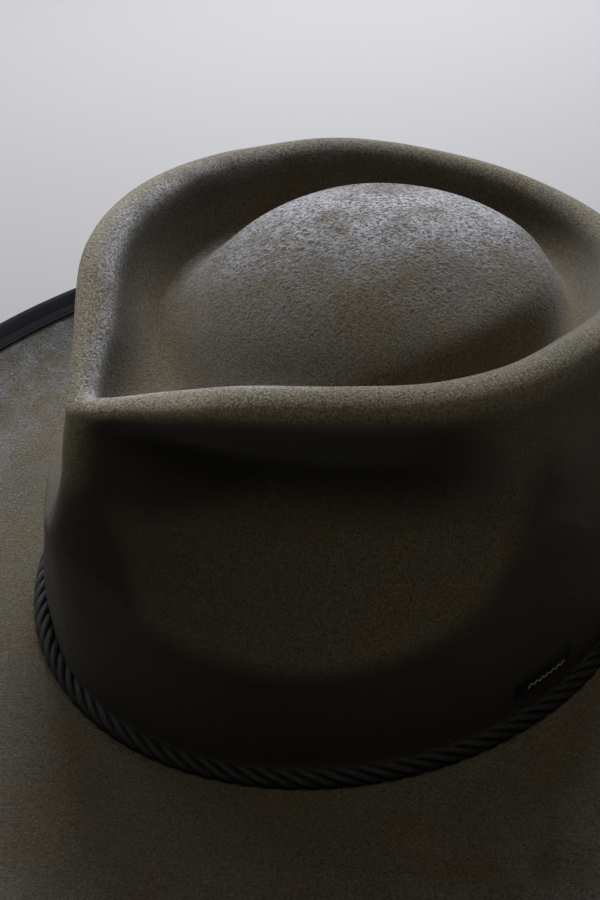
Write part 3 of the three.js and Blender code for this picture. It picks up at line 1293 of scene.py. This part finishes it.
@dataclass
class TwistedCord:
    """The cord round the crown's foot: strands laid round each other."""

    shape: HatShape
    diameter: float = 5.5
    clearance: float = 0.3
    strands: int = 4
    lay_mm: float = 24.0
    strand_radius: float = 1.1
    steps_per_lay: int = 32
    sides: int = 16
    line_steps: int = 4000
    yarn_slant: float = 0.9
    finish: TwistedYarn = field(default_factory=TwistedYarn)

    def centre_line(self) -> tuple[np.ndarray, float]:
        """Spaces points evenly along the cord's middle.

        Returns:
            The points, and the cord's length.
        """
        angle = np.linspace(0, TURN, self.line_steps + 1)
        out = self.clearance + self.diameter / 2
        radius = self.shape.oval_radius(angle, out)
        height = np.full_like(radius, self.shape.felt_thickness + out)
        line = stand_up(np.stack([radius, height], axis=1)[:, None], angle)[:, 0]
        run = np.concatenate([[0], np.cumsum(np.linalg.norm(np.diff(line, axis=0), axis=1))])
        lays = round(run[-1] / self.lay_mm)
        spots = np.linspace(0, run[-1], lays * self.steps_per_lay + 1)[:-1]
        even = np.stack([np.interp(spots, run, line[:, k]) for k in range(3)], axis=1)
        return even, run[-1]

    def build(self) -> bpy.types.Object:
        """Makes the strands as closed tubes in one mesh.

        Returns:
            The cord.
        """
        line, length = self.centre_line()
        count = len(line)
        lays = count // self.steps_per_lay
        ahead = unit(np.roll(line, -1, axis=0) - np.roll(line, 1, axis=0))
        outward = np.cross(ahead, [0, 0, 1.0])
        upward = np.cross(ahead, outward)
        helix = self.diameter / 2 - self.strand_radius
        turn = TURN * lays * np.arange(count) / count
        around = even_turns(self.sides)
        cosine, sine = (
            self.strand_radius * wave(around)[None, :, None] for wave in (np.cos, np.sin)
        )
        points, faces = [], []
        for strand in range(self.strands):
            phase = (turn + TURN * strand / self.strands)[:, None]
            spine = line + helix * (np.cos(phase) * outward + np.sin(phase) * upward)
            tangent = unit(np.roll(spine, -1, axis=0) - np.roll(spine, 1, axis=0))
            away = spine - line
            away = unit(away - (away * tangent).sum(1, keepdims=True) * tangent)
            side = np.cross(tangent, away)
            ring = spine[:, None] + cosine * away[:, None] + sine * side[:, None]
            points.append(ring.reshape(-1, 3))
            faces += grid_faces(count, self.sides, start=strand * count * self.sides)
        slant = np.arange(count)[:, None] / self.steps_per_lay * self.yarn_slant
        # The threads are counted both ways from each strand's outer line, so they meet evenly
        yarn = (np.minimum(around, TURN - around)[None, :] / TURN + slant).ravel()
        # Shares of painted shade: none on a strand's outer line, most where it meets the others
        groove = np.tile((1 - np.cos(around)) / 2, count)
        marks = {"yarn": np.tile(yarn, self.strands), "groove": np.tile(groove, self.strands)}
        LOG.info("cord length %.1f mm, %d lays", length, lays)
        return make_mesh("twisted_cord", np.concatenate(points), faces, marks)

    def dress(self, piece: bpy.types.Object) -> None:
        """Gives the cord its finish and its place."""
        place_on(piece, self.finish.build(), "cord_band")


@dataclass
class BrimRibbon:
    """The ribbon folded over the brim's edge, with its selvedges and its stitches."""

    shape: HatShape
    show: float = 6.5
    gap: float = 0.12
    thickness: float = 0.55
    edge_bead: float = 0.3
    bead_width: float = 3.2
    crease: Bell = Bell(0.3, 0.35, 0.06)
    selvedge: Bell = Bell(0.0, 0.7, 0.12)
    turn_steps: int = 480
    top_steps: int = 22
    fold_steps: int = 8
    stitch_count: int = 330
    stitch_length: float = 2.1
    stitch_radius: float = 0.22
    stitch_inset: float = 1.3
    finish: RibbedRibbon = field(default_factory=RibbedRibbon)
    thread: SewingThread = field(
        default_factory=lambda: SewingThread("charcoal_thread", "#0e0f11")
    )

    def relief(self, inward: np.ndarray) -> np.ndarray:
        """Gives the ribbon's rise: a bead along the fold, a slight crease and a soft selvedge.

        Args:
            inward: Distances from the brim's edge.

        Returns:
            The rise at each distance.
        """
        bead = self.edge_bead * np.clip(1 - (inward / self.bead_width) ** 2, 0, 1)
        return bead - self.crease(inward - self.bead_width) + self.selvedge(self.show - inward)

    def layer(self, angle: np.ndarray, gap: float, raised: float) -> np.ndarray:
        """Runs one face of the ribbon over the edge and back under it.

        Args:
            angle: Angles from the front, in radians.
            gap: Distance from the felt.
            raised: How much of the relief it has, from 0 to 1.

        Returns:
            Radius and height of each point, for each angle.
        """
        shape = self.shape
        thickness = shape.felt_thickness
        inward = self.show * np.linspace(1, 0, self.top_steps + 1)
        points = [shape.brim_point(angle, shape.brim_width - depth) for depth in inward]
        top = np.stack(points, axis=1)
        rise = raised * self.relief(inward)[None, :, None]
        over = offset_outline(top, gap) + rise * (offset_outline(top, 1) - top)
        under = offset_outline(top, -thickness - gap) + rise * (offset_outline(top, -1) - top)
        reach = thickness / 2 + gap + raised * self.edge_bead
        fold = rounded_edge(top, thickness, reach, self.fold_steps)
        return np.concatenate([over, fold, under[:, ::-1]], axis=1)

    def build(self) -> bpy.types.Object:
        """Makes the ribbon's closed mesh.

        Returns:
            The ribbon.
        """
        angle = even_turns(self.turn_steps)
        outer = self.layer(angle, self.gap + self.thickness, 1.0)
        inner = self.layer(angle, self.gap, 0.0)
        grid = stand_up(np.concatenate([outer, inner[:, ::-1]], axis=1), angle)
        sides = grid.shape[1]
        # The ribs are counted from the front to the back on each side, so they meet evenly
        turn = np.repeat(np.abs((angle / math.pi + 1) % 2 - 1), sides)
        faces = grid_faces(len(angle), sides)
        return make_mesh("brim_ribbon", grid.reshape(-1, 3), faces, {"turn": turn})

    def build_stitches(self) -> bpy.types.Object:
        """Makes the row of stitches on the ribbon's upper and lower side as one mesh.

        Returns:
            The stitches.
        """
        shape = self.shape
        angle = TURN * (np.arange(self.stitch_count) + 0.5) / self.stitch_count
        out = shape.brim_width - self.show + self.stitch_inset
        top = np.stack([shape.brim_point(angle, out + step) for step in (-0.5, 0, 0.5)], axis=1)
        lift = self.gap + self.thickness
        centres = [
            stand_up(offset_outline(top, distance)[:, 1:2], angle)[:, 0]
            for distance in (lift, -shape.felt_thickness - lift)
        ]
        run = np.stack([np.cos(angle), np.sin(angle), 0 * angle], axis=1)
        runs = np.concatenate([run, run])
        size = (self.stitch_length, self.stitch_radius)
        return capsules("ribbon_stitches", np.concatenate(centres), runs, *size)

    def dress(self, ribbon: bpy.types.Object, stitches: bpy.types.Object) -> None:
        """Gives the ribbon and its stitches their finishes and their place."""
        place_on(ribbon, self.finish.build(), "brim_binding")
        place_on(stitches, self.thread.build(), None)


@dataclass
class SideTab:
    """The small woven tab sewn to the crown above the cord, folded along its middle."""

    shape: HatShape
    from_angle: float = 93.5
    to_angle: float = 109.0
    bottom: float = 14.5
    height: float = 7.0
    gap: float = 0.3
    thickness: float = 0.8
    lower_layer: float = 0.55
    fold_share: float = 0.52
    fold_softness: float = 0.02
    edge_thickness: float = 0.35
    end_thickness: float = 0.3
    edge_roundness: float = 8.0
    end_roundness: float = 24.0
    turn_steps: int = 40
    rise_steps: int = 32
    wall_steps: int = 20
    stitch_count: int = 14
    stitch_length: float = 2.3
    stitch_radius: float = 0.22
    stitch_height: float = 0.27
    stitch_span: tuple[float, float] = (0.24, 0.86)
    stitch_lift: float = 0.05
    stitch_run: float = 0.7
    stitch_lean: float = 0.9
    cloth: WovenLabelCloth = field(default_factory=WovenLabelCloth)
    thread: SewingThread = field(default_factory=lambda: SewingThread("pale_thread", "#d2cab4"))

    def wall(self, angle: np.ndarray, height: np.ndarray) -> np.ndarray:
        """Reads the crown's radius low on its wall.

        Args:
            angle: Angles from the front, in radians.
            height: Heights to read at, the same for each angle.

        Returns:
            The radius at each angle and height.
        """
        steps = (2,) * (Guide.BELLY + 1) + (self.wall_steps,) * 2
        outline = self.shape.crown_outline(angle, steps)[:, -2 * self.wall_steps - 1 :]
        return np.stack([np.interp(height, row[::-1, 1], row[::-1, 0]) for row in outline])

    def relief(self, share: np.ndarray) -> np.ndarray:
        """Gives the tab's thickness up its height: the folded upper half stands prouder.

        Args:
            share: Height shares, from 0 at the bottom to 1 at the top.

        Returns:
            The thickness at each share.
        """
        upper = 1 / (1 + np.exp(-(share - self.fold_share) / self.fold_softness))
        rounded = np.clip(1 - np.abs(2 * share - 1) ** self.edge_roundness, 0, 1) ** 0.5
        layers = self.lower_layer + (1 - self.lower_layer) * upper
        edges = self.edge_thickness + (1 - self.edge_thickness) * rounded
        return self.thickness * layers * edges

    def build(self) -> bpy.types.Object:
        """Makes the tab's closed mesh, curved with the crown.

        Returns:
            The tab.
        """
        angle = np.radians(np.linspace(self.from_angle, self.to_angle, self.turn_steps + 1))
        share = np.linspace(0, 1, self.rise_steps + 1)
        height = self.bottom + self.height * share
        back = self.wall(angle, height) + self.gap
        ends = np.linspace(-1, 1, self.turn_steps + 1)
        soft = np.clip(1 - np.abs(ends) ** self.end_roundness, 0, 1)[:, None] ** 0.5
        full = self.end_thickness + (1 - self.end_thickness) * soft
        front = back + self.relief(share)[None, :] * full
        heights = np.broadcast_to(height, back.shape)
        faced, backed = (np.stack([radius, heights], axis=2) for radius in (front, back))
        grid = stand_up(np.concatenate([faced[:, ::-1], backed], axis=1), angle)
        rings, sides = grid.shape[:2]
        faces = grid_faces(rings, sides, closed_rings=False)
        for start, order in ((0, 1), ((rings - 1) * sides, -1)):
            for step in range(sides // 2 - 1):
                here, there = start + step, start + sides - 1 - step
                faces.append([here, here + 1, there - 1, there][::order])
        return make_mesh("side_label_tab", grid.reshape(-1, 3), faces)

    def build_stitches(self) -> bpy.types.Object:
        """Makes a plain row of slanted stitches along the tab's lower half.

        Returns:
            The stitches.
        """
        span = self.to_angle - self.from_angle
        places = np.linspace(*self.stitch_span, self.stitch_count)
        angle = np.radians(self.from_angle + span * places)
        height = np.array([self.bottom + self.stitch_height * self.height])
        lift = self.lower_layer * self.thickness
        radius = self.wall(angle, height) + self.gap + lift + self.stitch_lift
        spots = np.stack([radius, np.broadcast_to(height, radius.shape)], axis=2)
        centres = stand_up(spots, angle)[:, 0]
        lean = self.stitch_lean * np.where(np.arange(self.stitch_count) % 2 == 0, 1, -1)
        across = self.stitch_run * np.stack([np.cos(angle), np.sin(angle)])
        runs = unit(np.stack([*across, lean], axis=1))
        return capsules("tab_stitches", centres, runs, self.stitch_length, self.stitch_radius)

    def dress(self, tab: bpy.types.Object, stitches: bpy.types.Object) -> None:
        """Gives the tab and its stitches their finishes and their place."""
        place_on(tab, self.cloth.build(), "side_tab")
        place_on(stitches, self.thread.build(), None)


@dataclass(frozen=True)
class SoftLight:
    """A square soft light that faces the hat, told from the hat in degrees, metres and watts."""

    name: str
    azimuth: float
    elevation: float
    power: float
    colour: str
    distance: float = 0.8
    size: float = 0.3
    aim_height: float = 0.06

    def build(self) -> None:
        """Hangs the light."""
        light = bpy.data.lights.new(self.name, "AREA")
        light.shape = "SQUARE"
        light.size = self.size
        light.energy = self.power
        light.color = linear(self.colour)[:3]
        holder = bpy.data.objects.new(self.name, light)
        away = direction(self.azimuth, self.elevation)
        holder.location = away * self.distance + Vector((0, 0, self.aim_height))
        holder.rotation_euler = away.to_track_quat("Z", "Y").to_euler()
        bpy.context.scene.collection.objects.link(holder)


@dataclass
class Studio:
    """A pale floor, soft lights and the camera at the photograph's angle."""

    floor_half: float = 3.0
    camera_azimuth: float = 60.8
    camera_elevation: float = 41.2
    camera_distance: float = 431.0
    focal_pixels: float = 1369.0
    aim_height: float = 57.5
    aim_right: float = -13.3
    aim_up: float = -5.9
    roll: float = -1.8
    nearest: float = 0.01
    farthest: float = 50.0
    room_colour: str = "#e6e8ee"
    room_strength: float = 0.012
    floor_finish: PaintedFloor = field(default_factory=PaintedFloor)
    lights: tuple[SoftLight, ...] = (
        SoftLight("key_behind", 245.0, 44.0, 5.9, "#f2f4ff"),
        SoftLight("low_behind", 225.0, 28.0, 3.0, "#f2f4ff"),
        SoftLight("low_left", 285.0, 25.0, 1.3, "#f4f5ff"),
        SoftLight("fill_front", 50.0, 70.0, 0.95, "#fff4e2"),
    )

    def build_floor(self) -> None:
        """Lays the floor under the hat."""
        half = self.floor_half
        corners = [(-half, -half, 0), (half, -half, 0), (half, half, 0), (-half, half, 0)]
        mesh = bpy.data.meshes.new("floor")
        mesh.from_pydata(corners, [], [(0, 1, 2, 3)])
        floor = bpy.data.objects.new("floor", mesh)
        floor.data.materials.append(self.floor_finish.build())
        bpy.context.scene.collection.objects.link(floor)

    def build_room(self) -> None:
        """Fills the room with even pale light."""
        world = bpy.data.worlds.new("studio_room")
        world.use_nodes = True
        back = world.node_tree.nodes["Background"]
        back.inputs["Color"].default_value = linear(self.room_colour)
        back.inputs["Strength"].default_value = self.room_strength
        bpy.context.scene.world = world

    def build_camera(self) -> None:
        """Sets the camera where the photograph was taken from."""
        side, tilt = math.radians(self.camera_azimuth), math.radians(self.roll)
        back = direction(self.camera_azimuth, self.camera_elevation)
        level = Vector((math.cos(side), math.sin(side), 0))
        upright = back.cross(level)
        target = Vector((0, 0, self.aim_height)) + level * self.aim_right + upright * self.aim_up
        right = level * math.cos(tilt) + upright * math.sin(tilt)
        up = upright * math.cos(tilt) - level * math.sin(tilt)
        data = bpy.data.cameras.new("camera")
        data.sensor_fit = "AUTO"
        data.sensor_width = SENSOR_MM
        data.lens = self.focal_pixels * SENSOR_MM / max(PHOTO_SIZE)
        data.clip_start = self.nearest
        data.clip_end = self.farthest
        camera = bpy.data.objects.new("camera", data)
        turn = Matrix((right, up, back)).transposed().to_4x4()
        place = Matrix.Translation((target + back * self.camera_distance) * MM)
        camera.matrix_world = place @ turn
        bpy.context.scene.collection.objects.link(camera)
        bpy.context.scene.camera = camera

    def build(self) -> None:
        """Sets up the whole studio."""
        self.build_floor()
        for light in self.lights:
            light.build()
        self.build_room()
        self.build_camera()
        bpy.context.scene.view_settings.view_transform = "Standard"


def main() -> None:
    """Builds and dresses the hat piece by piece, then sets up the studio."""
    logging.basicConfig(level=logging.INFO, format="%(message)s")
    shape = HatShape()

    felt = FeltBody(shape)
    felt.dress(felt.build())

    cord = TwistedCord(shape)
    cord.dress(cord.build())

    ribbon = BrimRibbon(shape)
    ribbon.dress(ribbon.build(), ribbon.build_stitches())

    tab = SideTab(shape)
    tab.dress(tab.build(), tab.build_stitches())

    Studio().build()


if __name__ == "__main__":
    main()
